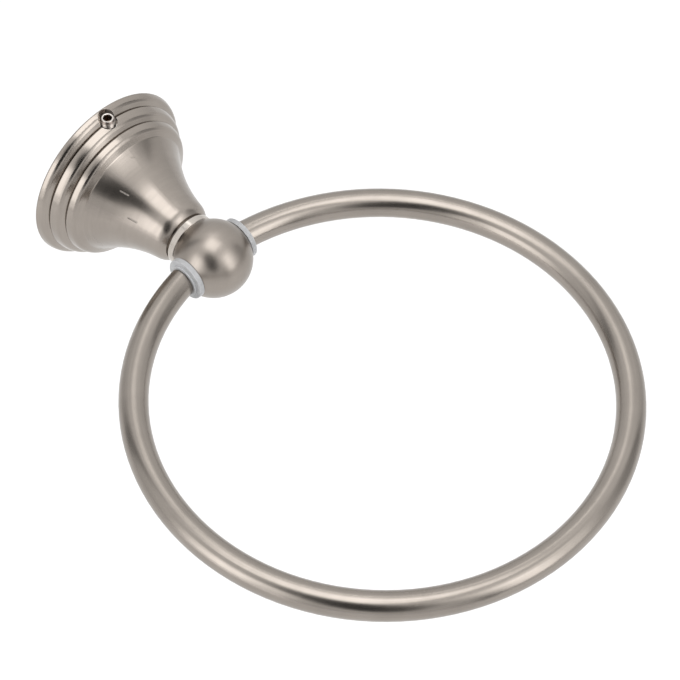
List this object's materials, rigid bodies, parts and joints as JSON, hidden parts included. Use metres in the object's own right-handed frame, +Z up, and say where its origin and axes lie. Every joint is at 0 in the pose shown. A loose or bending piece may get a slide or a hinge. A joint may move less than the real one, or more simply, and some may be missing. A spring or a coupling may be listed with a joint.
{
  "type": "towel ring",
  "caption": "Hollow bell-shaped wall post with a stepped flange and a ball end, and a round tube ring that swings on nylon-bushed studs in the ball.",
  "frame": {"origin": "centre of the flange's back, on the post's axis, in the plane of the wall", "axes": "+Y into the wall, so the post runs along -Y; +Z up, the side of the set screw; +X along the ring's pivot, to the right as seen from the wall's front"},
  "size_m": [0.1656, 0.2119, 0.062],
  "materials": {
    "satin_nickel": "satin brushed nickel plate",
    "white_nylon": "natural white nylon",
    "plated_steel": "bright zinc plate",
    "cast_zinc": "raw die-cast zinc"
  },
  "bodies": {
    "post": {"bell_post": "satin_nickel", "neck_collar": "satin_nickel", "ball_knuckle": "satin_nickel", "ball_screw": "plated_steel", "lock_washer": "plated_steel", "wall_bracket": "cast_zinc", "set_screw": "plated_steel", "bush_left": "white_nylon", "bush_right": "white_nylon"},
    "ring": {"towel_hoop": "satin_nickel", "pivot_plug_left": "plated_steel", "pivot_plug_right": "plated_steel"}
  },
  "joints": [
    {"name": "ring_swing", "type": "hinge", "parent": "post", "child": "ring", "pos_m": [0, -0.0522, 0], "axis": [1, 0, 0], "range_deg": [-107, 107]}
  ]
}
